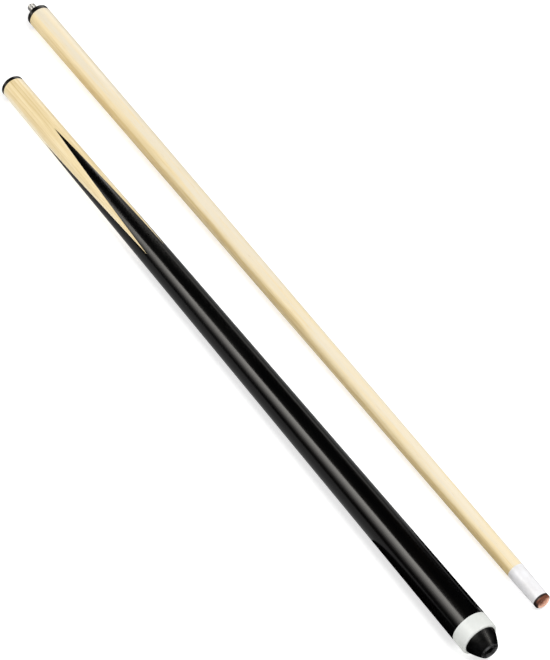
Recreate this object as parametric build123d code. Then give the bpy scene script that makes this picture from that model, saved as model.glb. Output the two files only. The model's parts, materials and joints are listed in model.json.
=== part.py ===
from build123d import *
import math
import os

# A two-piece pool cue, unscrewed: the butt half and the shaft half lie side by side on a table,
# both joint ends towards -X. Millimetres, +Z up. The origin is the centre of the base of the
# whole object's box. Each half is turned along its own axis, where s = 0 is its joint face and
# s grows towards the bumper or the tip, and is then laid down on its tapered side.

# ---- Driving dimensions ----
JOINT_R = 10.7  # both halves at the joint
CAP_R = 15.0  # thick end of the butt
BUTT_LENGTH = 695.0  # joint face to the rear face of the butt cap
WOOD_TIP_R = 7.05  # shaft wood where the ferrule starts
FERRULE_TIP_R = 6.55
SHAFT_LENGTH = 756.8  # joint face to the end of the ferrule

BUTT_COLLAR_LENGTH = 4.0
SHAFT_COLLAR_LENGTH = 4.8
FERRULE_LENGTH = 30.4
CAP_LENGTH = 13.0

# Where the halves lie, in plan
HALF_SPACING = 65.1  # between the two axes at the joint faces
SHAFT_LEAD = 69.8  # the shaft's joint face lies this far past the butt's
SHAFT_YAW = 0.28  # degrees; the halves close up slightly towards the tip

# Joint thread, 5/16-18 UNC, as plain cylinders
PIN_R = 3.87
PIN_LENGTH = 13.5
PIN_CHAMFER = 0.9
PIN_ANCHOR_R = 4.3
PIN_ANCHOR_LENGTH = 26.0
INSERT_BORE_R = 4.0
INSERT_R = 5.5
INSERT_LENGTH = 22.0
INSERT_RELIEF_R = 4.2
INSERT_RELIEF_LENGTH = 4.0
INSERT_MOUTH_CHAMFER = 0.5

# Full splice: four 90 degree points of the handle let into the forearm
POINT_COUNT = 4
POINT_START = 77.5  # the points' tips
POINT_ROOT = 246.0  # the spears' ends
POINT_TURN = -2.5  # degrees about the axis, from straight up
SPEAR_END_HALF = 0.15  # depth left at the spears' ends
WEDGE_REACH = 24.0
WEDGE_RUN_IN = 12.0

# Butt end
CAP_WALL = 3.4
CAP_TENON_R = 11.5
CAP_EDGE_R = 1.5
REAR_BORE_R = 6.1
BUMPER_BASE_R = 12.9
BUMPER_END_R = 6.9
BUMPER_HEIGHT = 12.2
BUMPER_RIM_R = 0.7
BUMPER_BULGE = 0.55
BUMPER_DISH_R = 4.9
BUMPER_DISH_DEPTH = 0.6
KEY_HOLE_R = 3.1
STEM_R = 5.3
STEM_RIB_R = 6.02
STEM_LENGTH = 18.0
STEM_RIB_COUNT = 3
STEM_RIB_START = 1.0
STEM_RIB_ROOT = 1.0
STEM_RIB_LENGTH = 2.4
STEM_RIB_PITCH = 5.4
BOLT_R = 5.9
BOLT_LENGTH = 90.0
BOLT_SOCKET_AF = 5.0
BOLT_SOCKET_DEPTH = 8.0
BOLT_CHAMFER = 0.8

# Tip
TIP_TENON_R = 4.2
TIP_TENON_LENGTH = 24.0
TIP_R = 6.5
PAD_THICKNESS = 1.0
TIP_SIDE = 1.6
TIP_HEIGHT = 4.4
TIP_EDGE_R = 0.3

# Collars
COLLAR_TENON_R = 8.0
COLLAR_CHAMFER = 0.4
FACE_RECESS = 0.1  # wood tenons stop this far behind the collar faces
TURN_CLEARANCE = 0.05  # between the shaft and the collar that it turns in
BUMPER_CLEARANCE = 0.05  # between the bumper's base and the cap

# Screwing together
PIN_APPROACH = 0.6  # pin end to the butt's face before the thread starts
FACE_GAP = 0.1  # collar to collar, screwed home


def butt_radius(s):
    return JOINT_R + (CAP_R - JOINT_R) * s / BUTT_LENGTH


FERRULE_START = SHAFT_LENGTH - FERRULE_LENGTH


def shaft_radius(s):
    return JOINT_R + (WOOD_TIP_R - JOINT_R) * s / FERRULE_START


def turned(*points):
    """A solid turned about the X axis from an outline of (s, radius) points."""
    outline = Polyline(*points, close=True)
    return revolve(make_face(outline), Axis.X)


def rims(shape, s):
    """The circular edges that lie in the plane at s."""
    return shape.edges().filter_by(GeomType.CIRCLE).filter_by_position(Axis.X, s - 0.01, s + 0.01)


def outer_rim(shape, s):
    return rims(shape, s).sort_by(SortBy.RADIUS)[-1]


def inner_rim(shape, s):
    return rims(shape, s).sort_by(SortBy.RADIUS)[0]


# ---- Butt half ----
def make_butt_collar():
    end = BUTT_COLLAR_LENGTH
    ring = turned((0, COLLAR_TENON_R), (0, butt_radius(0)), (end, butt_radius(end)), (end, COLLAR_TENON_R))
    return chamfer(outer_rim(ring, 0), COLLAR_CHAMFER)


def make_joint_insert():
    end = INSERT_LENGTH
    sleeve = turned((0, INSERT_BORE_R), (0, INSERT_R), (end, INSERT_R), (end, INSERT_BORE_R))
    return chamfer(inner_rim(sleeve, 0), INSERT_MOUTH_CHAMFER)


def point_wedge(turn):
    """A 90 degree V that runs in from the surface to the axis, pointing outwards at angle turn."""
    slope = butt_radius(POINT_START) / (POINT_ROOT - POINT_START)
    front = POINT_START - WEDGE_RUN_IN
    sections = []
    for s, depth in ((front, slope * (POINT_ROOT - front)), (POINT_ROOT, SPEAR_END_HALF)):
        half_width = WEDGE_REACH - depth
        corners = [(depth, 0), (WEDGE_REACH, half_width), (WEDGE_REACH, -half_width)]
        section = Plane(origin=(s, 0, 0), x_dir=(0, 0, 1), z_dir=(1, 0, 0))
        sections.append(section * make_face(Polyline(*corners, close=True)))
    return Rot(X=-turn) * loft(sections, ruled=True)


def cut_points(blank):
    """Cuts the four V notches for the handle's points out of a blank."""
    for n in range(POINT_COUNT):
        blank -= point_wedge(POINT_TURN + 360 / POINT_COUNT * n)
    return blank


def make_forearm():
    start = BUTT_COLLAR_LENGTH
    relief_end = INSERT_LENGTH + INSERT_RELIEF_LENGTH
    blank = turned(
        (FACE_RECESS, INSERT_R),
        (FACE_RECESS, COLLAR_TENON_R),
        (start, COLLAR_TENON_R),
        (start, butt_radius(start)),
        (POINT_ROOT, butt_radius(POINT_ROOT)),
        (POINT_ROOT, 0),
        (relief_end, 0),
        (relief_end, INSERT_RELIEF_R),
        (INSERT_LENGTH, INSERT_RELIEF_R),
        (INSERT_LENGTH, INSERT_R),
    )
    return cut_points(blank)


CAP_START = BUTT_LENGTH - CAP_LENGTH
TENON_END = BUTT_LENGTH - CAP_WALL
STEM_END = BUTT_LENGTH - STEM_LENGTH
FEED_LENGTH = PIN_LENGTH + PIN_APPROACH - FACE_GAP
BOLT_SPARE = 1.0
BOLT_REAR = STEM_END - FEED_LENGTH - BOLT_SPARE
BOLT_FRONT = BOLT_REAR - BOLT_LENGTH


def make_handle():
    start = POINT_START - 1
    spears = turned(
        (start, 0),
        (start, butt_radius(start)),
        (POINT_ROOT, butt_radius(POINT_ROOT)),
        (POINT_ROOT, 0),
    )
    bore_end = BOLT_FRONT - BOLT_SPARE
    blank = turned(
        (start, 0),
        (start, butt_radius(start)),
        (CAP_START, butt_radius(CAP_START)),
        (CAP_START, CAP_TENON_R),
        (TENON_END, CAP_TENON_R),
        (TENON_END, REAR_BORE_R),
        (bore_end, REAR_BORE_R),
        (bore_end, 0),
    )
    return blank - cut_points(spears)


def make_butt_cap():
    cap = turned(
        (CAP_START, CAP_TENON_R),
        (CAP_START, butt_radius(CAP_START)),
        (BUTT_LENGTH, CAP_R),
        (BUTT_LENGTH, REAR_BORE_R),
        (TENON_END, REAR_BORE_R),
        (TENON_END, CAP_TENON_R),
    )
    return fillet(outer_rim(cap, BUTT_LENGTH), CAP_EDGE_R)


def make_weight_bolt():
    bolt = turned((BOLT_FRONT, 0), (BOLT_FRONT, BOLT_R), (BOLT_REAR, BOLT_R), (BOLT_REAR, 0))
    bolt = chamfer(rims(bolt, BOLT_FRONT) + rims(bolt, BOLT_REAR), BOLT_CHAMFER)
    hexagon = RegularPolygon(radius=BOLT_SOCKET_AF / 2, side_count=6, major_radius=False)
    socket = Plane(origin=(BOLT_REAR, 0, 0), z_dir=(-1, 0, 0)) * hexagon
    return bolt - extrude(socket, BOLT_SOCKET_DEPTH)


def make_bumper():
    base = BUTT_LENGTH + BUMPER_CLEARANCE
    end = BUTT_LENGTH + BUMPER_HEIGHT
    side_middle = ((base + end) / 2, (BUMPER_BASE_R + BUMPER_END_R) / 2 + BUMPER_BULGE)
    side = ThreePointArc((base, BUMPER_BASE_R), side_middle, (end, BUMPER_END_R))
    rest = Polyline(
        (end, BUMPER_END_R),
        (end, BUMPER_DISH_R),
        (end - BUMPER_DISH_DEPTH, BUMPER_DISH_R),
        (end - BUMPER_DISH_DEPTH, KEY_HOLE_R),
        (STEM_END, KEY_HOLE_R),
        (STEM_END, STEM_R),
        (base, STEM_R),
        (base, BUMPER_BASE_R),
    )
    bumper = revolve(make_face(side + rest), Axis.X)
    bumper = fillet(outer_rim(bumper, end), BUMPER_RIM_R)
    root = STEM_R - STEM_RIB_ROOT
    for n in range(STEM_RIB_COUNT):
        front = STEM_END + STEM_RIB_START + n * STEM_RIB_PITCH
        rear = front + STEM_RIB_LENGTH
        bumper += turned((front, root), (front, STEM_R), (rear, STEM_RIB_R), (rear, root))
    return bumper


# ---- Shaft half ----
def make_joint_pin():
    pin = turned(
        (-PIN_LENGTH, 0),
        (-PIN_LENGTH, PIN_R),
        (FACE_RECESS, PIN_R),
        (FACE_RECESS, PIN_ANCHOR_R),
        (PIN_ANCHOR_LENGTH, PIN_ANCHOR_R),
        (PIN_ANCHOR_LENGTH, 0),
    )
    return chamfer(rims(pin, -PIN_LENGTH), PIN_CHAMFER)


def make_shaft_collar():
    end = SHAFT_COLLAR_LENGTH
    ring = turned((0, COLLAR_TENON_R), (0, shaft_radius(0)), (end, shaft_radius(end)), (end, COLLAR_TENON_R))
    return chamfer(outer_rim(ring, 0), COLLAR_CHAMFER)


def make_shaft():
    start = SHAFT_COLLAR_LENGTH + TURN_CLEARANCE
    tenon_r = COLLAR_TENON_R - TURN_CLEARANCE
    tenon_end = FERRULE_START + TIP_TENON_LENGTH
    return turned(
        (FACE_RECESS, PIN_ANCHOR_R),
        (FACE_RECESS, tenon_r),
        (start, tenon_r),
        (start, shaft_radius(start)),
        (FERRULE_START, WOOD_TIP_R),
        (FERRULE_START, TIP_TENON_R),
        (tenon_end, TIP_TENON_R),
        (tenon_end, 0),
        (PIN_ANCHOR_LENGTH, 0),
        (PIN_ANCHOR_LENGTH, PIN_ANCHOR_R),
    )


def make_ferrule():
    tenon_end = FERRULE_START + TIP_TENON_LENGTH
    return turned(
        (FERRULE_START, TIP_TENON_R),
        (FERRULE_START, WOOD_TIP_R),
        (SHAFT_LENGTH, FERRULE_TIP_R),
        (SHAFT_LENGTH, 0),
        (tenon_end, 0),
        (tenon_end, TIP_TENON_R),
    )


PAD_END = SHAFT_LENGTH + PAD_THICKNESS


def make_tip_pad():
    return turned((SHAFT_LENGTH, 0), (SHAFT_LENGTH, TIP_R), (PAD_END, TIP_R), (PAD_END, 0))


def make_leather_tip():
    """A flat-based leather disc with a straight side and a domed crown."""
    crown_drop = TIP_HEIGHT - TIP_SIDE
    crown_r = (TIP_R**2 + crown_drop**2) / (2 * crown_drop)
    shoulder = (PAD_END + TIP_SIDE, TIP_R)
    apex = (PAD_END + TIP_HEIGHT, 0)
    crown = RadiusArc(shoulder, apex, crown_r)
    rest = Polyline(apex, (PAD_END, 0), (PAD_END, TIP_R), shoulder)
    tip = revolve(make_face(crown + rest), Axis.X)
    return fillet(outer_rim(tip, PAD_END + TIP_SIDE), TIP_EDGE_R)


BUTT_PARTS = {
    "butt_collar": make_butt_collar,
    "joint_insert": make_joint_insert,
    "forearm": make_forearm,
    "handle": make_handle,
    "butt_cap": make_butt_cap,
    "weight_bolt": make_weight_bolt,
    "bumper": make_bumper,
}
SHAFT_PARTS = {
    "joint_pin": make_joint_pin,
    "shaft_collar": make_shaft_collar,
    "shaft": make_shaft,
    "ferrule": make_ferrule,
    "tip_pad": make_tip_pad,
    "leather_tip": make_leather_tip,
}

# ---- Laying the halves down ----
# Each half rests on its cone, so its axis rises towards its thick end.
BUTT_TILT = math.degrees(math.atan((CAP_R - JOINT_R) / BUTT_LENGTH))
SHAFT_TILT = math.degrees(math.atan((JOINT_R - WOOD_TIP_R) / FERRULE_START))

# Plan centre of the whole object, measured from the butt's joint face
REAR_REACH = BUTT_LENGTH + BUMPER_HEIGHT
FRONT_REACH = SHAFT_LEAD + PIN_LENGTH
BUTT_X = (FRONT_REACH - REAR_REACH) / 2
BUTT_Y = -(HALF_SPACING + JOINT_R - CAP_R) / 2
SHAFT_X = BUTT_X - SHAFT_LEAD
SHAFT_Y = BUTT_Y + HALF_SPACING
BUTT_Z = JOINT_R * math.cos(math.radians(BUTT_TILT))
SHAFT_Z = JOINT_R * math.cos(math.radians(SHAFT_TILT))

BUTT_PLACE = Pos(BUTT_X, BUTT_Y, BUTT_Z) * Rot(Y=-BUTT_TILT)
SHAFT_PLACE = Pos(SHAFT_X, SHAFT_Y, SHAFT_Z) * Rot(Z=-SHAFT_YAW) * Rot(Y=SHAFT_TILT)


def build():
    solids = {name: BUTT_PLACE * make() for name, make in BUTT_PARTS.items()}
    solids.update({name: SHAFT_PLACE * make() for name, make in SHAFT_PARTS.items()})
    return solids


def main():
    os.makedirs("parts", exist_ok=True)
    for name, solid in build().items():
        export_step(solid, f"parts/{name}.step")


if __name__ == "__main__":
    main()
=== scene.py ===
import json
import math

import bmesh
import bpy
from mathutils import Matrix, Vector, noise


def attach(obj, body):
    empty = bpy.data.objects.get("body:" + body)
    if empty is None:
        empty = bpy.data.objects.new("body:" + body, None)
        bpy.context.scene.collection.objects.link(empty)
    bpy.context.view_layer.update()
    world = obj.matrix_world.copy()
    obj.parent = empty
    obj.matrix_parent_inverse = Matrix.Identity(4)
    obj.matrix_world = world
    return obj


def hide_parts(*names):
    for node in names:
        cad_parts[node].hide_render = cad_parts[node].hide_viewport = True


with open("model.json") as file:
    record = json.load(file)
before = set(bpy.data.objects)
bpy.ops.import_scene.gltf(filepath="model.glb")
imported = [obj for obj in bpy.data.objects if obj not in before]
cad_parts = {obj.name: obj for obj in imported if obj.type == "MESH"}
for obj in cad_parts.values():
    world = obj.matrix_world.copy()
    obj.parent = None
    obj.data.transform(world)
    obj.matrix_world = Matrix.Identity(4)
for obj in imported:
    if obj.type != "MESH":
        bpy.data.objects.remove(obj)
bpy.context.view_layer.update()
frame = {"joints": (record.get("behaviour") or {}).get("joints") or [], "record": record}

# The looks of a two-piece pool cue. Every piece is turned about the axis of its own half, where
# s = 0 is the joint face and s grows towards the bumper or the tip. Outlines are in millimetres.
# A half's own frame has x along its axis, y level and z up: meshes are made in it and then laid
# down where the half lies, and materials look their patterns up in it.

MM = 0.001

# ---- Driving dimensions, mm ----
JOINT_R = 10.7  # both halves at the joint
CAP_R = 15.0  # thick end of the butt
BUTT_LENGTH = 695.0  # joint face to the rear face of the butt cap
WOOD_TIP_R = 7.05  # shaft wood where the ferrule starts
FERRULE_TIP_R = 6.55
SHAFT_LENGTH = 756.8  # joint face to the end of the ferrule
BUTT_COLLAR_LENGTH = 4.0
SHAFT_COLLAR_LENGTH = 4.8
FERRULE_LENGTH = 30.4
FERRULE_START = SHAFT_LENGTH - FERRULE_LENGTH
CAP_LENGTH = 13.0
CAP_START = BUTT_LENGTH - CAP_LENGTH
COLLAR_TENON_R = 8.0
COLLAR_CHAMFER = 0.4
FACE_RECESS = 0.1  # wood tenons stop this far behind the collar faces
TURN_CLEARANCE = 0.05  # between the shaft and the collar that it turns in
SEAM = 0.12  # rounding where two turned pieces meet
EDGE = 0.25  # rounding of an edge that a hand feels

THREAD_PITCH = 25.4 / 18
PIN_R = 3.87
PIN_LENGTH = 13.5
PIN_NOSE = 0.9
PIN_UNDERCUT_R = 3.3
PIN_UNDERCUT = 1.1
PIN_ANCHOR_R = 4.3
PIN_ANCHOR_LENGTH = 26.0
PIN_THREAD_DEPTH = 0.5
INSERT_BORE_R = 4.0
INSERT_R = 5.5
INSERT_LENGTH = 22.0
INSERT_MOUTH = 0.5
INSERT_THREAD_DEPTH = 0.6
ROOT_START = 0.9  # where a thread's root starts, in half pitches from the middle of its crest
FLANK = 0.55  # and the width of its flank, in half pitches
RELIEF_R = 4.2
RELIEF_LENGTH = 4.0

POINT_COUNT = 4
POINT_START = 77.5  # the points' tips
POINT_ROOT = 246.0  # where the points meet
POINT_TURN = math.radians(-2.5)  # about the axis, from straight up
SPEAR_STOP = 0.4  # the spears end this far short of the points' root

CAP_WALL = 3.4
CAP_TENON_R = 11.5
CAP_EDGE_R = 1.5
REAR_BORE_R = 6.1
BOLT_R = 5.9
BOLT_FRONT = 572.0
BOLT_LENGTH = 90.0
BOLT_THREAD_DEPTH = 0.5
BOLT_CHAMFER = 0.8
BOLT_SOCKET_AF = 5.0  # across the hexagon's flats
BOLT_SOCKET_DEPTH = 8.0
BORE_END = BOLT_FRONT - 1.0

BUMPER_GAP = 0.05  # between the bumper's base and the cap
BUMPER_BASE_R = 12.9
BUMPER_END_R = 6.9
BUMPER_HEIGHT = 12.2
BUMPER_BULGE = 0.55
BUMPER_RIM = 0.7
BUMPER_DISH_R = 4.9
BUMPER_DISH_DEPTH = 0.6
KEY_HOLE_R = 3.1
STEM_R = 5.3
STEM_LENGTH = 18.0
RIB_R = 6.02
RIB_COUNT = 3
RIB_START = 1.0
RIB_LENGTH = 2.4
RIB_PITCH = 5.4

TIP_TENON_R = 4.2
TIP_TENON_LENGTH = 24.0
TIP_R = 6.5
PAD_THICKNESS = 1.0
TIP_SIDE = 1.6
TIP_HEIGHT = 4.4
TIP_EDGE_R = 0.3
NAP_DEPTH = 0.05  # how deep the crown is picked
NAP_SCALE = 1.6  # how many features it has in a millimetre
TIP_PAINTED_LIGHT_ANGLE = 155  # the side of the tip's crown that is painted pale as painted light, in degrees
TIP_PAINTED_SHADE_ANGLE = -115  # and the side that is painted darkest, as painted shade

# ---- Mesh resolution ----
QUARTER_STEPS = 32  # sides in a quarter of a circle
SEGMENTS = 4 * QUARTER_STEPS
ARC_STEPS = 5  # steps in a rounded corner
LONGEST_RUN = 12.0  # mm, between two rings
POINT_ROWS = 56  # rows along the splice
THREAD_ROWS = 16  # rows in one pitch
SIDE_STEPS = 14  # steps along the bumper's bulging side
CROWN_STEPS = 24  # steps from the tip's edge to its top
MERGE = 2e-7  # metres; places nearer than this become one
SHARP_ANGLE = math.radians(35)


def butt_radius(s):
    return JOINT_R + (CAP_R - JOINT_R) * s / BUTT_LENGTH


def shaft_radius(s):
    return JOINT_R + (WOOD_TIP_R - JOINT_R) * s / FERRULE_START


# ---- Where the halves lie ----
def laid_down(origin, axis):
    """The frame of a half: x runs along its axis, y lies level and z points up."""
    x = Vector(axis).normalized()
    y = Vector((0, 0, 1)).cross(x).normalized()
    place = Matrix((x, y, x.cross(y))).transposed().to_4x4()
    place.translation = origin
    return place


joints = {joint["name"]: joint for joint in frame["joints"]}
mounts = {mount["name"]: mount for mount in frame["record"]["mounts"]}
butt_axis = Vector(joints["bumper_pull"]["axis"])
thread_mouth = (INSERT_MOUTH + FACE_RECESS) * MM
BUTT = laid_down(Vector(mounts["joint_thread"]["pos_m"]) - butt_axis * thread_mouth, butt_axis)
SHAFT = laid_down(joints["shaft_turn"]["pos_m"], -Vector(joints["shaft_turn"]["axis"]))


# ---- Turned meshes ----
def rounded(corners, closed=False):
    """Outline points from corners (s, r), with an arc at each corner that gives its radius as well."""
    points = []
    for i, corner in enumerate(corners):
        here = Vector(corner[:2])
        if len(corner) == 2:
            points.append(here)
            continue
        back = (Vector(corners[i - 1][:2]) - here).normalized()
        ahead = (Vector(corners[(i + 1) % len(corners)][:2]) - here).normalized()
        half = back.angle(ahead) / 2
        centre = here + (back + ahead).normalized() * corner[2] / math.sin(half)
        start = here + back * corner[2] / math.tan(half) - centre
        end = here + ahead * corner[2] / math.tan(half) - centre
        sweep = math.pi - 2 * half
        for k in range(ARC_STEPS + 1):
            a = sweep * k / ARC_STEPS
            points.append(centre + (start * math.sin(sweep - a) + end * math.sin(a)) / math.sin(sweep))
    if closed:
        points.append(points[0].copy())
    return points


def with_short_runs(points):
    """The same outline with points added along every long run."""
    out = [points[0]]
    for a, b in zip(points, points[1:]):
        pieces = max(1, math.ceil((b - a).length / LONGEST_RUN))
        out += [a.lerp(b, k / pieces) for k in range(1, pieces + 1)]
    return out


def full_circle():
    """Angles from straight up towards +Y, with four of them on the points' centre lines."""
    return [POINT_TURN + 2 * math.pi * k / SEGMENTS for k in range(SEGMENTS)]


def ring(s, radius, angles):
    """Points round the axis at s. radius is a number, or a function of s and the angle."""
    out = []
    for a in angles:
        r = radius(s, a) if callable(radius) else radius
        out.append(Vector((s, r * math.sin(a), r * math.cos(a))) * MM)
    return out


def rings(outline):
    return [ring(s, r, full_circle()) for s, r in with_short_runs(outline)]


class Shell:
    """A closed mesh made of strips of rings."""

    def __init__(self):
        self.bm = bmesh.new()

    def skin(self, rows):
        """Joins each row of points to the next one, all the way round."""
        rows = [[self.bm.verts.new(p) for p in row] for row in rows]
        for low, high in zip(rows, rows[1:]):
            for i in range(len(low)):
                j = (i + 1) % len(low)
                self.bm.faces.new((low[i], low[j], high[j], high[i]))
        return self

    def piece(self, name, place, body, slot, material):
        """The finished object, riding on its body and standing for the CAD node of the same name."""
        bmesh.ops.remove_doubles(self.bm, verts=self.bm.verts, dist=MERGE)
        bmesh.ops.dissolve_degenerate(self.bm, edges=self.bm.edges, dist=MERGE / 4)
        bmesh.ops.recalc_face_normals(self.bm, faces=self.bm.faces)
        mesh = bpy.data.meshes.new(name + "_mesh")
        self.bm.transform(place)
        self.bm.to_mesh(mesh)
        self.bm.free()
        mesh.shade_smooth()
        mesh.set_sharp_from_angle(angle=SHARP_ANGLE)
        mesh.materials.append(material)
        made = bpy.data.objects.new(name + "_turned", mesh)
        bpy.context.scene.collection.objects.link(made)
        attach(made, body)
        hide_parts(name)
        return made


def turned(outline):
    return Shell().skin(rings(outline))


def collar(end, radius):
    """A ring round its wood's tenon, with a chamfered joint face."""
    outline = [
        (0, COLLAR_TENON_R),
        (0, JOINT_R - COLLAR_CHAMFER, SEAM),
        (COLLAR_CHAMFER, radius(0), SEAM),
        (end, radius(end), SEAM),
        (end, COLLAR_TENON_R),
    ]
    return turned(rounded(outline, closed=True))


# ---- Threads ----
def thread_height(turns):
    """0 in the root of a 60 degree thread and 1 on its crest, by how many turns along it the place is."""
    from_crest = abs(turns % 1 - 0.5) * 2
    return min(1, max(0, (ROOT_START - from_crest) / FLANK))


def turns_along(s, angle):
    """A right-handed thread climbs one pitch in a turn."""
    return s / THREAD_PITCH + angle / (2 * math.pi)


def thread_rows(start, end):
    """Evenly spaced places from start to end, near enough together to show the thread."""
    count = math.ceil(abs(end - start) / THREAD_PITCH * THREAD_ROWS)
    return [start + (end - start) * k / count for k in range(count + 1)]


# ---- Butt half ----
def make_butt_collar(material):
    shell = collar(BUTT_COLLAR_LENGTH, butt_radius)
    return shell.piece("butt_collar", BUTT, "butt", "black_resin", material)


def make_joint_insert(material):
    def bore(s, angle):
        return INSERT_BORE_R + INSERT_THREAD_DEPTH * (1 - thread_height(turns_along(s, angle)))

    angles = full_circle()
    mouth_r = INSERT_BORE_R + INSERT_THREAD_DEPTH
    rows = [ring(0, mouth_r, angles), ring(0, INSERT_R, angles), ring(INSERT_LENGTH, INSERT_R, angles)]
    rows += [ring(s, bore, angles) for s in thread_rows(INSERT_LENGTH, INSERT_MOUTH)]
    rows.append(rows[0])
    return Shell().skin(rows).piece("joint_insert", BUTT, "butt", "brass", material)


def point_depth(s):
    """How far from the axis the bottom of a point's V notch is."""
    return butt_radius(POINT_START) * (POINT_ROOT - s) / (POINT_ROOT - POINT_START)


def point_half_angle(s):
    """Half the angle that a point takes up on the surface, where its right-angled V meets it."""
    across = point_depth(s) / (butt_radius(s) * math.sqrt(2))
    return math.acos(min(across, math.sqrt(0.5))) - math.pi / 4


def arc_with_corner(s, corner, first, last):
    """A V notch's bottom at the angle corner, then the surface from the angle first to last."""
    angles = [first + (last - first) * k / QUARTER_STEPS for k in range(QUARTER_STEPS + 1)]
    return ring(s, point_depth(s), [corner]) + ring(s, butt_radius(s), angles)


def point_places(end):
    return [POINT_START + (end - POINT_START) * k / POINT_ROWS for k in range(POINT_ROWS + 1)]


def quarter(n):
    return POINT_TURN + 2 * math.pi / POINT_COUNT * n


def make_forearm(material):
    start = BUTT_COLLAR_LENGTH
    relief_end = INSERT_LENGTH + RELIEF_LENGTH
    outline = [
        (relief_end, 0),
        (relief_end, RELIEF_R),
        (INSERT_LENGTH, RELIEF_R),
        (INSERT_LENGTH, INSERT_R),
        (FACE_RECESS, INSERT_R),
        (FACE_RECESS, COLLAR_TENON_R),
        (start, COLLAR_TENON_R),
        (start, butt_radius(start), SEAM),
        (POINT_START, butt_radius(POINT_START)),
    ]
    rows = rings(rounded(outline))

    def section(s):
        points = []
        for n in range(POINT_COUNT):
            half = point_half_angle(s)
            points += arc_with_corner(s, quarter(n), quarter(n) + half, quarter(n + 1) - half)
        return points

    places = point_places(POINT_ROOT - SPEAR_STOP)
    spears = [section(s) for s in places]
    tip = [Vector((places[-1] * MM, 0, 0))] * len(spears[-1])
    shell = Shell().skin(rows).skin(spears + [tip])
    return shell.piece("forearm", BUTT, "butt", "maple", material)


def make_handle(material):
    tenon_end = BUTT_LENGTH - CAP_WALL
    outline = [
        (POINT_ROOT, butt_radius(POINT_ROOT)),
        (CAP_START, butt_radius(CAP_START), SEAM),
        (CAP_START, CAP_TENON_R),
        (tenon_end, CAP_TENON_R),
        (tenon_end, REAR_BORE_R),
        (BORE_END, REAR_BORE_R),
        (BORE_END, 0),
    ]
    shell = turned(rounded(outline))
    for n in range(POINT_COUNT):
        rows = []
        for s in point_places(POINT_ROOT):
            half = point_half_angle(s)
            rows.append(arc_with_corner(s, quarter(n), quarter(n) - half, quarter(n) + half))
        shell.skin(rows)
    return shell.piece("handle", BUTT, "butt", "black_lacquer", material)


def make_butt_cap(material):
    tenon_end = BUTT_LENGTH - CAP_WALL
    outline = [
        (CAP_START, CAP_TENON_R),
        (CAP_START, butt_radius(CAP_START), SEAM),
        (BUTT_LENGTH, CAP_R, CAP_EDGE_R),
        (BUTT_LENGTH, REAR_BORE_R),
        (tenon_end, REAR_BORE_R),
        (tenon_end, CAP_TENON_R),
    ]
    return turned(rounded(outline, closed=True)).piece("butt_cap", BUTT, "butt", "white_resin", material)


def make_weight_bolt(material):
    rear = BOLT_FRONT + BOLT_LENGTH
    socket_end = rear - BOLT_SOCKET_DEPTH
    bolt_end_r = BOLT_R - BOLT_CHAMFER

    def hexagon(s, angle):
        sixth = math.pi / 3
        return BOLT_SOCKET_AF / 2 / math.cos((angle + sixth / 2) % sixth - sixth / 2)

    def barrel(s, angle):
        chamfer = min(s - BOLT_FRONT, rear - s) + bolt_end_r
        cut = BOLT_THREAD_DEPTH * (1 - thread_height(turns_along(s, angle)))
        return min(BOLT_R - cut, chamfer)

    angles = full_circle()
    rows = [ring(BOLT_FRONT, 0, angles)]
    rows += [ring(s, barrel, angles) for s in thread_rows(BOLT_FRONT, rear)]
    rows += [ring(rear, hexagon, angles), ring(socket_end, hexagon, angles)]
    rows.append(ring(socket_end, 0, angles))
    return Shell().skin(rows).piece("weight_bolt", BUTT, "weight_bolt", "zinc_steel", material)


def make_bumper(material):
    base = BUTT_LENGTH + BUMPER_GAP
    end = BUTT_LENGTH + BUMPER_HEIGHT
    stem_end = BUTT_LENGTH - STEM_LENGTH

    def side(t):
        r = BUMPER_BASE_R + (BUMPER_END_R - BUMPER_BASE_R) * t + 4 * BUMPER_BULGE * t * (1 - t)
        return base + (end - base) * t, r

    outline = [(base, STEM_R), (*side(0), EDGE)]
    outline += [side(k / SIDE_STEPS) for k in range(1, SIDE_STEPS)]
    outline += [
        (*side(1), BUMPER_RIM),
        (end, BUMPER_DISH_R, EDGE),
        (end - BUMPER_DISH_DEPTH, BUMPER_DISH_R, EDGE),
        (end - BUMPER_DISH_DEPTH, KEY_HOLE_R, EDGE),
        (stem_end, KEY_HOLE_R),
        (stem_end, STEM_R, EDGE),
    ]
    for n in range(RIB_COUNT):
        front = stem_end + RIB_START + n * RIB_PITCH
        outline += [(front, STEM_R), (front + RIB_LENGTH, RIB_R, SEAM), (front + RIB_LENGTH, STEM_R)]
    return turned(rounded(outline, closed=True)).piece("bumper", BUTT, "bumper", "black_rubber", material)


# ---- Shaft half ----
def make_joint_pin(material):
    nose_r = PIN_R - PIN_NOSE

    def screw(s, angle):
        nose = nose_r + (s + PIN_LENGTH)
        cut = PIN_THREAD_DEPTH * (1 - thread_height(turns_along(s, angle)))
        run_out = PIN_UNDERCUT_R + max(0, -PIN_UNDERCUT - s)
        return min(PIN_R - cut, nose, run_out)

    angles = full_circle()
    rows = [ring(-PIN_LENGTH, 0, angles)]
    rows += [ring(s, screw, angles) for s in thread_rows(-PIN_LENGTH, FACE_RECESS)]
    anchor = [(FACE_RECESS, PIN_ANCHOR_R), (PIN_ANCHOR_LENGTH, PIN_ANCHOR_R), (PIN_ANCHOR_LENGTH, 0)]
    rows += rings(rounded(anchor))
    return Shell().skin(rows).piece("joint_pin", SHAFT, "shaft", "pin_steel", material)


def make_shaft_collar(material):
    shell = collar(SHAFT_COLLAR_LENGTH, shaft_radius)
    return shell.piece("shaft_collar", SHAFT, "shaft_collar", "black_resin", material)


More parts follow.
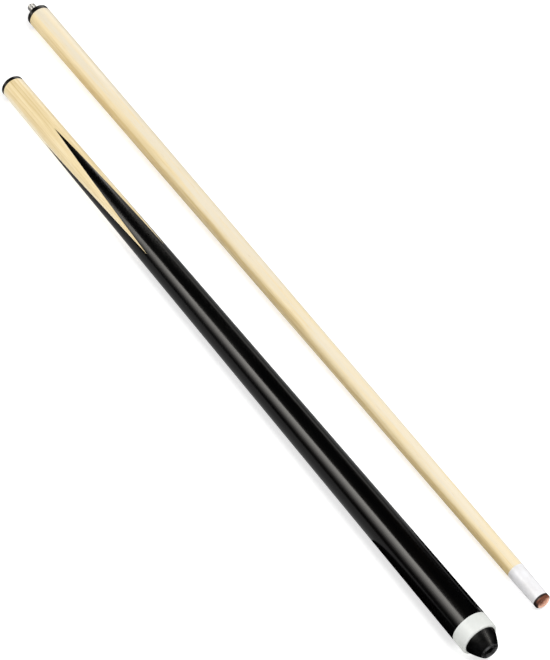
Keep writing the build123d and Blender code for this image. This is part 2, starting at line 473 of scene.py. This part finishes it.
def make_shaft(material):
    start = SHAFT_COLLAR_LENGTH + TURN_CLEARANCE
    tenon_r = COLLAR_TENON_R - TURN_CLEARANCE
    tenon_end = FERRULE_START + TIP_TENON_LENGTH
    outline = [
        (PIN_ANCHOR_LENGTH, 0),
        (PIN_ANCHOR_LENGTH, PIN_ANCHOR_R),
        (FACE_RECESS, PIN_ANCHOR_R),
        (FACE_RECESS, tenon_r),
        (start, tenon_r),
        (start, shaft_radius(start), SEAM),
        (FERRULE_START, WOOD_TIP_R, SEAM / 2),
        (FERRULE_START, TIP_TENON_R),
        (tenon_end, TIP_TENON_R),
        (tenon_end, 0),
    ]
    made = turned(rounded(outline)).piece("shaft", SHAFT, "shaft", "maple", material)
    made.visible_glossy = False  # the handle's lacquer mirrors only the cards
    return made


def make_ferrule(material):
    tenon_end = FERRULE_START + TIP_TENON_LENGTH
    outline = [
        (tenon_end, 0),
        (tenon_end, TIP_TENON_R),
        (FERRULE_START, TIP_TENON_R),
        (FERRULE_START, WOOD_TIP_R, SEAM / 2),
        (SHAFT_LENGTH, FERRULE_TIP_R, SEAM),
        (SHAFT_LENGTH, 0),
    ]
    return turned(rounded(outline)).piece("ferrule", SHAFT, "shaft", "ferrule_resin", material)


def make_tip_pad(material):
    end = SHAFT_LENGTH + PAD_THICKNESS
    outline = [(SHAFT_LENGTH, 0), (SHAFT_LENGTH, TIP_R, SEAM), (end, TIP_R, SEAM), (end, 0)]
    return turned(rounded(outline)).piece("tip_pad", SHAFT, "shaft", "fibre", material)


def make_leather_tip(material):
    """The crown is an arc over the flat disc, picked rough in a shallow, irregular way."""
    base = SHAFT_LENGTH + PAD_THICKNESS
    drop = TIP_HEIGHT - TIP_SIDE
    crown_r = (TIP_R**2 + drop**2) / (2 * drop)
    sweep = math.asin(TIP_R / crown_r)

    def crown(t):
        a = sweep * (1 - t)
        return base + TIP_HEIGHT - crown_r * (1 - math.cos(a)), crown_r * math.sin(a)

    outline = [(base, 0), (base, TIP_R, SEAM), (*crown(0), TIP_EDGE_R)]
    outline += [crown(k / CROWN_STEPS) for k in range(1, CROWN_STEPS + 1)]
    shell = turned(rounded(outline))
    for v in shell.bm.verts:
        s = v.co.x / MM
        inward = max(0, s - base - TIP_SIDE) / drop
        v.co.x -= NAP_DEPTH * MM * inward * (0.5 + 0.5 * noise.noise(v.co / MM * NAP_SCALE))
    return shell.piece("leather_tip", SHAFT, "shaft", "tip_leather", material)


# ---- Materials ----
class Finish:
    """A Principled material, with short ways to add the nodes of its patterns. They are placed in the
    frame of the half that the material is for."""

    def __init__(self, name, half, color, **sockets):
        self.material = bpy.data.materials.new(name)
        self.material.use_nodes = True
        self.tree = self.material.node_tree
        self.shader = self.tree.nodes["Principled BSDF"]
        self.shader.inputs["Base Color"].default_value = (*color, 1)
        for socket, value in sockets.items():
            self.shader.inputs[socket.replace("_", " ")].default_value = value
        inputs = {
            "Vector": self.node("ShaderNodeTexCoord").outputs["Object"],
            "Location": half.translation,
            "Rotation": half.to_euler(),
        }
        self.place = self.node("ShaderNodeMapping", inputs, vector_type="TEXTURE").outputs[0]

    def node(self, kind, inputs=None, **settings):
        made = self.tree.nodes.new(kind)
        for key, value in settings.items():
            setattr(made, key, value)
        for key, value in (inputs or {}).items():
            if isinstance(value, bpy.types.NodeSocket):
                self.tree.links.new(value, made.inputs[key])
            else:
                made.inputs[key].default_value = value
        return made

    def feed(self, socket, value):
        self.tree.links.new(value, self.shader.inputs[socket])

    def noise(self, along, across, detail=3.0, roughness=0.55, shift=0.0):
        """Noise with that many features in a metre along the axis and across it. A shift picks another part
        of it."""
        scale, start = (along, across, across), (shift, shift, shift)
        scaled = self.node("ShaderNodeMapping", {"Vector": self.place, "Scale": scale, "Location": start})
        inputs = {"Vector": scaled.outputs[0], "Scale": 1.0, "Detail": detail, "Roughness": roughness}
        return self.node("ShaderNodeTexNoise", inputs).outputs[0]

    def math(self, operation, a, b=0.0):
        return self.node("ShaderNodeMath", {0: a, 1: b}, operation=operation).outputs[0]

    def remap(self, value, low, high, to_low=0.0, to_high=1.0):
        """An S-shaped ramp: to_low where the value is low, and to_high where it is high."""
        inputs = {"Value": value, "From Min": low, "From Max": high, "To Min": to_low, "To Max": to_high}
        return self.node("ShaderNodeMapRange", inputs, interpolation_type="SMOOTHSTEP").outputs[0]

    def mix(self, factor, a, b):
        """Colour a where the factor is 0 and colour b where it is 1."""
        inputs = {0: factor, 6: a, 7: b}
        for key in (6, 7):
            if not isinstance(inputs[key], bpy.types.NodeSocket):
                inputs[key] = (*inputs[key], 1)
        return self.node("ShaderNodeMix", inputs, data_type="RGBA").outputs[2]

    def along(self, direction, scale=1.0):
        """How far a place lies along a direction, times scale."""
        direction = Vector(direction) * scale
        inputs = {0: self.place, 1: direction}
        return self.node("ShaderNodeVectorMath", inputs, operation="DOT_PRODUCT").outputs["Value"]

    def from_axis(self):
        """Distance from the axis, in metres."""
        flat = self.node("ShaderNodeVectorMath", {0: self.place, 1: (0, 1, 1)}, operation="MULTIPLY")
        return self.node("ShaderNodeVectorMath", {0: flat.outputs[0]}, operation="LENGTH").outputs["Value"]

    def bump(self, height, strength, distance, normal=None):
        inputs = {"Strength": strength, "Distance": distance, "Height": height}
        if normal:
            inputs["Normal"] = normal
        return self.node("ShaderNodeBump", inputs).outputs[0]


def around(angle):
    """The direction at that angle from straight up towards +Y, in degrees."""
    a = math.radians(angle)
    return (0, math.sin(a), math.cos(a))


def maple(name, half, cream, ring_angle, painted_shade_angle, painted_shade_strength, base_tone, shift):
    """Straight-grained maple under satin lacquer: cream where its tone is 0, honey at 0.5 and tan at 1. The
    growth layers face ring_angle. Painted shade turns the stick towards tan on one side, at the second angle
    and by the strength given after it."""
    honey, tan, brown = (0.80, 0.655, 0.385), (0.66, 0.50, 0.235), (0.50, 0.35, 0.17)
    layer = 0.0026  # metres, between two growth layers
    wandering = 4.5  # layers that the growth drifts by along the stick
    finish = Finish(name, half, honey, Coat_Weight=0.2, Coat_Roughness=0.16, Specular_IOR_Level=0.3)

    drift = finish.noise(2.2, 45, 2.0, shift=shift)
    figure = finish.noise(9, 150, 3.0, 0.6, shift + 3)
    streaks = finish.noise(11, 520, 3.0, 0.6, shift + 5)
    fibres = finish.noise(28, 1500, 4.0, 0.6, shift)
    pores = finish.noise(110, 3600, 2.0, 0.5, shift + 7)
    smudge = finish.noise(14, 60, 3.0, shift=shift)
    centred_drift = finish.math("SUBTRACT", drift, 0.5)

    wander = finish.math("MULTIPLY", centred_drift, wandering)
    count = finish.math("ADD", finish.along(around(ring_angle), 1 / layer), wander)
    from_middle = finish.math("ABSOLUTE", finish.math("SUBTRACT", finish.math("FRACT", count), 0.5))
    latewood = finish.remap(from_middle, 0.30, 0.5)

    # Painted shade: the tone turns towards tan on the side at the shade angle, with a little random drift.
    toward_painted_shade = finish.math("DIVIDE", finish.along(around(painted_shade_angle)), finish.from_axis())
    painted_shade_side = finish.remap(finish.math("ADD", toward_painted_shade, centred_drift), 0.05, 1.0)

    tone = finish.math("ADD", finish.math("MULTIPLY", painted_shade_side, painted_shade_strength), base_tone)
    tone = finish.math("ADD", tone, finish.remap(figure, 0.3, 0.7, -0.12, 0.24))
    tone = finish.math("ADD", tone, finish.math("MULTIPLY", latewood, 0.20))
    tone = finish.math("ADD", tone, finish.remap(streaks, 0.3, 0.72, -0.14, 0.20))
    tone = finish.math("ADD", tone, finish.remap(fibres, 0.3, 0.75, -0.08, 0.14))
    ramp = finish.node("ShaderNodeValToRGB", {0: tone})
    ramp.color_ramp.elements[0].color = (*cream, 1)
    ramp.color_ramp.elements[1].color = (*tan, 1)
    ramp.color_ramp.elements.new(0.5).color = (*honey, 1)

    fleck = finish.remap(pores, 0.64, 0.76, 0.0, 0.5)
    finish.feed("Base Color", finish.mix(fleck, ramp.outputs[0], brown))
    finish.feed("Roughness", finish.remap(smudge, 0.3, 0.7, 0.30, 0.44))
    grain = finish.bump(fibres, 0.16, 0.00004)
    finish.feed("Normal", finish.bump(pores, 0.12, 0.00003, grain))
    return finish.material


def black_lacquer():
    """High gloss black over wood: the grain still tells faintly, with polishing marks and handling haze."""
    black, blue_black, brown_black = (0.001, 0.001, 0.001), (0.0006, 0.0006, 0.0008), (0.0018, 0.0014, 0.0011)
    finish = Finish("black_lacquer", BUTT, black, Coat_Weight=0.35, Coat_Roughness=0.08)
    haze = finish.noise(9, 55, 4.0)
    polish = finish.noise(2600, 90, 2.0)
    figure = finish.noise(6, 240)
    pores = finish.noise(16, 700, 3.0)
    hazy = finish.remap(haze, 0.3, 0.72, 0.15, 0.25)
    finish.feed("Base Color", finish.mix(finish.remap(figure, 0.45, 0.8), blue_black, brown_black))
    finish.feed("Roughness", finish.math("ADD", hazy, finish.math("MULTIPLY", polish, 0.04)))
    grain = finish.bump(pores, 0.10, 0.00003)
    finish.feed("Normal", finish.bump(polish, 0.05, 0.00001, grain))
    return finish.material


def black_resin(name, half):
    """Polished phenolic with fine lathe lines and faint cloudiness."""
    black, deep, cloudy = (0.003, 0.003, 0.003), (0.0015, 0.0013, 0.0011), (0.009, 0.007, 0.005)
    gloss = {"Coat_Weight": 0.1, "Coat_Roughness": 0.12, "Specular_IOR_Level": 0.22}
    finish = Finish(name, half, black, **gloss)
    cloud = finish.noise(160, 160, 4.0)
    lathe = finish.noise(5200, 60, 2.0)
    finish.feed("Base Color", finish.mix(finish.remap(cloud, 0.35, 0.75), deep, cloudy))
    finish.feed("Roughness", finish.remap(lathe, 0.3, 0.7, 0.18, 0.30))
    finish.feed("Normal", finish.bump(lathe, 0.12, 0.00002))
    return finish.material


def white_resin():
    """Off-white cast resin, cloudy inside, with turning marks and a little grime in its surface."""
    white, clear = (0.70, 0.72, 0.68), (0.675, 0.69, 0.665)
    cloudy, dirt = (0.61, 0.625, 0.595), (0.52, 0.51, 0.45)
    gloss = {"Coat_Weight": 0.12, "Coat_Roughness": 0.2, "Specular_IOR_Level": 0.35}
    finish = Finish("white_resin", BUTT, white, **gloss)
    cloud = finish.noise(55, 55, 5.0, 0.6)
    grime = finish.noise(320, 140, 4.0, 0.65, 4.0)
    lathe = finish.noise(3600, 50, 2.0)
    body = finish.mix(finish.remap(cloud, 0.32, 0.7), clear, cloudy)
    dirty = finish.remap(grime, 0.56, 0.78, 0.0, 0.35)
    finish.feed("Base Color", finish.mix(dirty, body, dirt))
    finish.feed("Roughness", finish.remap(grime, 0.3, 0.75, 0.34, 0.5))
    finish.feed("Normal", finish.bump(lathe, 0.10, 0.00002))
    return finish.material


def black_rubber():
    """Moulded rubber: fine pitted skin, scuffed pale where its end stands on the floor."""
    black, deep, faded = (0.003, 0.003, 0.004), (0.0004, 0.0004, 0.0006), (0.0024, 0.0024, 0.0030)
    scuffed = (0.085, 0.085, 0.088)
    scuff_reach = 1.1 * MM
    finish = Finish("black_rubber", BUTT, black, Specular_IOR_Level=0.5)
    pits = finish.noise(2100, 2100, 3.0, 0.6)
    patches = finish.noise(150, 150, 4.0, 0.6)
    end = (BUTT_LENGTH + BUMPER_HEIGHT) * MM
    near_end = finish.remap(finish.along((1, 0, 0)), end - scuff_reach, end, 0.0, 0.8)
    scuff = finish.math("MULTIPLY", near_end, finish.remap(patches, 0.38, 0.62))
    skin = finish.mix(finish.remap(patches, 0.35, 0.7), deep, faded)
    finish.feed("Base Color", finish.mix(scuff, skin, scuffed))
    finish.feed("Roughness", finish.math("ADD", finish.remap(patches, 0.3, 0.7, 0.34, 0.42), scuff))
    finish.feed("Normal", finish.bump(pits, 0.16, 0.00004))
    return finish.material


def turned_metal(name, half, bright, tarnished, rough):
    """Machined metal with lathe lines round it, and tarnish that is stronger in patches."""
    rougher = 0.18  # how much rougher the tarnished patches are
    finish = Finish(name, half, bright, Metallic=1.0)
    lathe = finish.noise(9000, 120, 2.0)
    tarnish = finish.noise(260, 260, 5.0, 0.65)
    finish.feed("Base Color", finish.mix(finish.remap(tarnish, 0.42, 0.75), bright, tarnished))
    stain = finish.remap(tarnish, 0.35, 0.75, rough, rough + rougher)
    finish.feed("Roughness", finish.math("ADD", stain, finish.math("MULTIPLY", lathe, 0.08)))
    finish.feed("Normal", finish.bump(lathe, 0.18, 0.00002))
    return finish.material


def ferrule_resin():
    """White polished resin with faint mottling and fine turning marks."""
    white, clear, mottled = (0.80, 0.80, 0.81), (0.80, 0.795, 0.81), (0.71, 0.70, 0.705)
    finish = Finish("ferrule_resin", SHAFT, white, Coat_Weight=0.3, Coat_Roughness=0.18)
    cloud = finish.noise(120, 160, 5.0, 0.6)
    lathe = finish.noise(4200, 70, 2.0)
    finish.feed("Base Color", finish.mix(finish.remap(cloud, 0.35, 0.72), clear, mottled))
    finish.feed("Roughness", finish.remap(cloud, 0.3, 0.7, 0.28, 0.42))
    finish.feed("Normal", finish.bump(lathe, 0.10, 0.00002))
    return finish.material


def fibre():
    """Dark vulcanised fibre, in thin pressed layers."""
    middle, dark, light = (0.05, 0.03, 0.025), (0.020, 0.013, 0.012), (0.055, 0.030, 0.024)
    speck = (0.11, 0.07, 0.055)
    finish = Finish("fibre", SHAFT, middle)
    layers = finish.noise(6500, 260, 3.0)
    specks = finish.noise(900, 900, 4.0, 0.7)
    body = finish.mix(finish.remap(layers, 0.35, 0.65), dark, light)
    finish.feed("Base Color", finish.mix(finish.remap(specks, 0.6, 0.75, 0.0, 0.6), body, speck))
    finish.feed("Roughness", finish.remap(specks, 0.3, 0.7, 0.48, 0.66))
    finish.feed("Normal", finish.bump(layers, 0.25, 0.00004))
    return finish.material


def tip_leather():
    """Pressed leather, darkened near black by burnish where it meets its pad, and by painted shade down one
    side. The crown is painted pale on one side as painted light, and is reddish brown on the other."""
    tan, nap_pale, near_black = (0.5, 0.26, 0.17), (0.74, 0.45, 0.33), (0.016, 0.009, 0.008)
    pale, paler = (0.66, 0.34, 0.22), (0.88, 0.50, 0.37)
    red_brown, dark_brown = (0.20, 0.058, 0.026), (0.085, 0.028, 0.015)
    finish = Finish("tip_leather", SHAFT, tan)
    nap = finish.noise(1500, 1500, 5.0, 0.68)
    patches = finish.noise(420, 420, 4.0, 0.6, 2.0)
    layers = finish.noise(2800, 160, 3.0, shift=5.0)

    # How far the edges between the colours waver, in metres
    mottle = finish.remap(patches, 0.3, 0.7, -0.0014, 0.0014)
    waver = finish.remap(patches, 0.3, 0.7, -0.0003, 0.0003)
    # Painted light: the crown is pale towards one side and reddish brown away from it.
    toward_painted_lit_side = finish.math("ADD", finish.along(around(TIP_PAINTED_LIGHT_ANGLE)), mottle)
    painted_lit_side = finish.remap(toward_painted_lit_side, -4.6 * MM, 0.2 * MM)
    painted_lit_pale = finish.mix(finish.remap(patches, 0.36, 0.66), paler, pale)
    brown = finish.mix(finish.remap(layers, 0.36, 0.64), red_brown, dark_brown)
    crown = finish.mix(painted_lit_side, brown, painted_lit_pale)
    crown = finish.mix(finish.remap(nap, 0.50, 0.74, 0.0, 0.45), crown, nap_pale)

    off_axis = finish.math("ADD", finish.from_axis(), waver)
    side = finish.remap(off_axis, (TIP_R - 1.9) * MM, (TIP_R - 0.7) * MM)
    leather = finish.mix(side, crown, brown)
    base = (SHAFT_LENGTH + PAD_THICKNESS) * MM
    foot = finish.remap(finish.along((1, 0, 0)), base + 1.1 * MM, base + 0.3 * MM)
    # Painted shade darkens one flank near black; the dark band at the foot, by the pad, is burnish.
    flank = finish.remap(finish.along(around(TIP_PAINTED_SHADE_ANGLE)), 2.6 * MM, 5.4 * MM)
    burnish_and_painted_shade = finish.math("MULTIPLY", finish.math("MAXIMUM", foot, flank), side)
    finish.feed("Base Color", finish.mix(burnish_and_painted_shade, leather, near_black))
    finish.feed("Roughness", finish.remap(side, 0, 1, 0.82, 0.42))
    finish.feed("Normal", finish.bump(nap, 0.55, 0.00012))
    return finish.material


def forearm_maple():
    """Painted shade makes it tan along its top, and it stays pale down both flanks where the light fell."""
    grain = {"ring_angle": 60, "painted_shade_angle": -18, "painted_shade_strength": 0.64, "base_tone": -0.12, "shift": 11.0}
    return maple("forearm_maple", BUTT, cream=(0.89, 0.80, 0.63), **grain)


def shaft_maple():
    """Painted shade makes it tan down its left flank; it is pale over the rest."""
    grain = {"ring_angle": -35, "painted_shade_angle": -95, "painted_shade_strength": 0.85, "base_tone": -0.08, "shift": 27.0}
    return maple("shaft_maple", SHAFT, cream=(0.775, 0.69, 0.53), **grain)


def brass():
    bright, tarnished = (0.74, 0.55, 0.25), (0.42, 0.28, 0.12)
    return turned_metal("brass", BUTT, bright, tarnished, rough=0.22)


def zinc_steel():
    bright, tarnished = (0.56, 0.57, 0.58), (0.36, 0.35, 0.32)
    return turned_metal("zinc_steel", BUTT, bright, tarnished, rough=0.30)


def pin_steel():
    bright, tarnished = (0.82, 0.81, 0.79), (0.64, 0.62, 0.59)
    return turned_metal("pin_steel", SHAFT, bright, tarnished, rough=0.20)


# ---- The cue ----
make_butt_collar(black_resin("butt_collar_resin", BUTT))
make_joint_insert(brass())
make_forearm(forearm_maple())
make_handle(black_lacquer())
make_butt_cap(white_resin())
make_weight_bolt(zinc_steel())
make_bumper(black_rubber())
make_joint_pin(pin_steel())
make_shaft_collar(black_resin("shaft_collar_resin", SHAFT))
make_shaft(shaft_maple())
make_ferrule(ferrule_resin())
make_tip_pad(fibre())
make_leather_tip(tip_leather())

# ---- Floor, light and camera, in metres ----
FLOOR_SIZE = 14.0
FLOOR_DROP = 0.0001  # the floor lies this far under the cue, and the gloss sheet twice as far
FLOOR_GREY = 0.62
FLOOR_GLOW = 0.58
GLOSS_SHEET_GLOW = 0.26
WORLD_STRENGTH = 0.70
KEY_POWER = 28.0
FILL_POWER = 3.0
CARD_TINT = (1.0, 0.975, 0.92)

STREAK_BRIGHTNESS = 4.0
STREAK_LENGTH = 1.6
STREAK_BARS = 6
STREAK_AIM = Vector((-0.28, 0, 0))
STREAK_TOP = Vector((-0.28, -0.50, 1.20))
STREAK_BOTTOM = Vector((-0.28, -1.34, 0.28))

PIN_PLACE = Vector((-0.389, 0.035, 0.011))
PIN_CARD_DISTANCE = 0.4
TOWARD_LEFT_PIN_CARD = Vector((-0.68, -0.66, 0.31))
TOWARD_RIGHT_PIN_CARD = Vector((-0.68, 0.55, 0.45))

BUMPER_PLACE = Vector((0.39, -0.03, 0.025))
GLINT_DISTANCE = 1.6
GLINT_BRIGHTNESS = 6.5
GLINTS = 5
TOWARD_FIRST_GLINT = Vector((0.17, 0.545, 0.82))
TOWARD_LAST_GLINT = Vector((0.55, 0.555, 0.625))

CAMERA_AZIMUTH = math.radians(56.875)
CAMERA_ELEVATION = math.radians(49.325)
CAMERA_DISTANCE = 1.866
CAMERA_AIM = Vector((0.0529, 0.0088, 0.010))
CAMERA_LENS = 126.53
CAMERA_SENSOR = 36.0


def level_sheet(name, near_left, far_right, drop, finish):
    """A level rectangle between two opposite corners, that far under the cue."""
    (near, left), (far, right) = near_left, far_right
    mesh = bpy.data.meshes.new(name + "_mesh")
    corners = [(x, y, -drop) for x, y in ((near, left), (far, left), (far, right), (near, right))]
    mesh.from_pydata(corners, [], [(0, 1, 2, 3)])
    mesh.materials.append(finish.material)
    sheet = bpy.data.objects.new(name, mesh)
    bpy.context.scene.collection.objects.link(sheet)
    return sheet


def glowing(strength):
    return {"Emission_Color": (1, 1, 1, 1), "Emission_Strength": strength}


def make_floor():
    """A pale sheet that glows a little, like a light table, so that shadows on it stay faint."""
    half = FLOOR_SIZE / 2
    looks = {"Roughness": 0.9, "Specular_IOR_Level": 0.1, **glowing(FLOOR_GLOW)}
    finish = Finish("floor_paper", Matrix(), (FLOOR_GREY, FLOOR_GREY, FLOOR_GREY), **looks)
    tooth = finish.noise(600, 600, 3.0)
    finish.feed("Normal", finish.bump(tooth, 0.05, 0.0001))
    floor = level_sheet("floor", (-half, -half), (half, half), FLOOR_DROP, finish)
    floor.visible_glossy = False


def make_gloss_sheet():
    """What gloss mirrors of the floor: a dim sheet just under it, which nothing else sees."""
    looks = {"Specular_IOR_Level": 0.0, **glowing(GLOSS_SHEET_GLOW)}
    finish = Finish("gloss_sheet", Matrix(), (0.0, 0.0, 0.0), **looks)
    finish.material.cycles.emission_sampling = "NONE"
    sheet = level_sheet("gloss_sheet", (-1.2, -1.5), (0.26, 1.5), 2 * FLOOR_DROP, finish)
    sheet.visible_camera = False
    sheet.visible_diffuse = False
    sheet.visible_shadow = False


def make_world():
    """A white tent that lights from all round. Gloss doesn't mirror it, so black stays black."""
    world = bpy.data.worlds.new("studio")
    world.use_nodes = True
    background = world.node_tree.nodes["Background"]
    background.inputs["Color"].default_value = (1.0, 1.0, 1.0, 1)
    background.inputs["Strength"].default_value = WORLD_STRENGTH
    world.cycles_visibility.glossy = False
    bpy.context.scene.world = world


def softbox(name, place, aim, size, power):
    """A rectangular light that faces the place it is aimed at, with its first side level."""
    light = bpy.data.lights.new(name, "AREA")
    light.shape = "RECTANGLE"
    light.size, light.size_y = size
    light.energy = power
    made = bpy.data.objects.new(name, light)
    bpy.context.scene.collection.objects.link(made)
    made.location = place
    made.rotation_mode = "QUATERNION"
    back = (Vector(place) - Vector(aim)).normalized()
    level = Vector((0, 0, 1)).cross(back).normalized()
    made.rotation_quaternion = Matrix((level, back.cross(level), back)).transposed().to_quaternion()
    made.visible_camera = False
    return made


def card(name, place, aim, size, brightness):
    """A white card that only gloss mirrors: it draws a highlight, and adds no other light."""
    made = softbox(name, place, aim, size, math.pi * size[0] * size[1] * brightness)
    made.data.color = CARD_TINT
    made.visible_diffuse = False


def make_diffuse_lights():
    """The key is overhead, and a low fill lights the forearm's left flank."""
    softbox("key", (0.85, 0.35, 2.0), (0, 0, 0), (1.0, 0.5), KEY_POWER).visible_glossy = False
    softbox("fill", (-0.9, -1.1, 0.2), (-0.25, 0, 0), (0.9, 0.3), FILL_POWER).visible_glossy = False


def make_streak_cards():
    """Bars along the left draw the long highlight on the lacquer: it is brightest at its top edge and fades
    downwards. A low card on the right draws the faint one there."""
    size = (STREAK_LENGTH, (STREAK_TOP - STREAK_BOTTOM).length / STREAK_BARS)
    for n in range(STREAK_BARS):
        place = STREAK_TOP.lerp(STREAK_BOTTOM, (n + 0.5) / STREAK_BARS)
        fade = math.cos(math.pi / 2 * n / STREAK_BARS) ** 4
        card(f"bar_{n}", place, STREAK_AIM, size, STREAK_BRIGHTNESS * fade)
    card("low_card", (-1.1, 1.1, 0.34), (-1.1, 0, 0), size=(1.5, 0.36), brightness=0.5)


def make_pin_cards():
    """One near card on each side of the joint pin, for its two bright stripes."""
    left = PIN_PLACE + PIN_CARD_DISTANCE * TOWARD_LEFT_PIN_CARD
    right = PIN_PLACE + PIN_CARD_DISTANCE * TOWARD_RIGHT_PIN_CARD
    card("pin_left_card", left, PIN_PLACE, size=(0.3, 0.11), brightness=3.0)
    card("pin_card", right, PIN_PLACE, size=(0.36, 0.30), brightness=2.2)


def make_glint_cards():
    """A row of small cards that the bumper's flank mirrors from its cap to its rim."""
    for n in range(GLINTS):
        away = TOWARD_FIRST_GLINT.lerp(TOWARD_LAST_GLINT, n / (GLINTS - 1))
        place = BUMPER_PLACE + GLINT_DISTANCE * away
        card(f"glint_{n}", place, BUMPER_PLACE, size=(0.3, 0.17), brightness=GLINT_BRIGHTNESS)


def make_camera():
    level = math.cos(CAMERA_ELEVATION)
    east, north = math.sin(CAMERA_AZIMUTH) * level, -math.cos(CAMERA_AZIMUTH) * level
    back = Vector((east, north, math.sin(CAMERA_ELEVATION)))
    data = bpy.data.cameras.new("camera")
    data.lens = CAMERA_LENS
    data.sensor_width = CAMERA_SENSOR
    data.clip_start = 0.05
    data.clip_end = 40.0
    camera = bpy.data.objects.new("camera", data)
    bpy.context.scene.collection.objects.link(camera)
    camera.location = CAMERA_AIM + back * CAMERA_DISTANCE
    camera.rotation_mode = "QUATERNION"
    camera.rotation_quaternion = (-back).to_track_quat("-Z", "Y")
    bpy.context.scene.camera = camera


make_floor()
make_gloss_sheet()
make_world()
make_diffuse_lights()
make_streak_cards()
make_pin_cards()
make_glint_cards()
make_camera()
bpy.context.scene.view_settings.view_transform = "Standard"
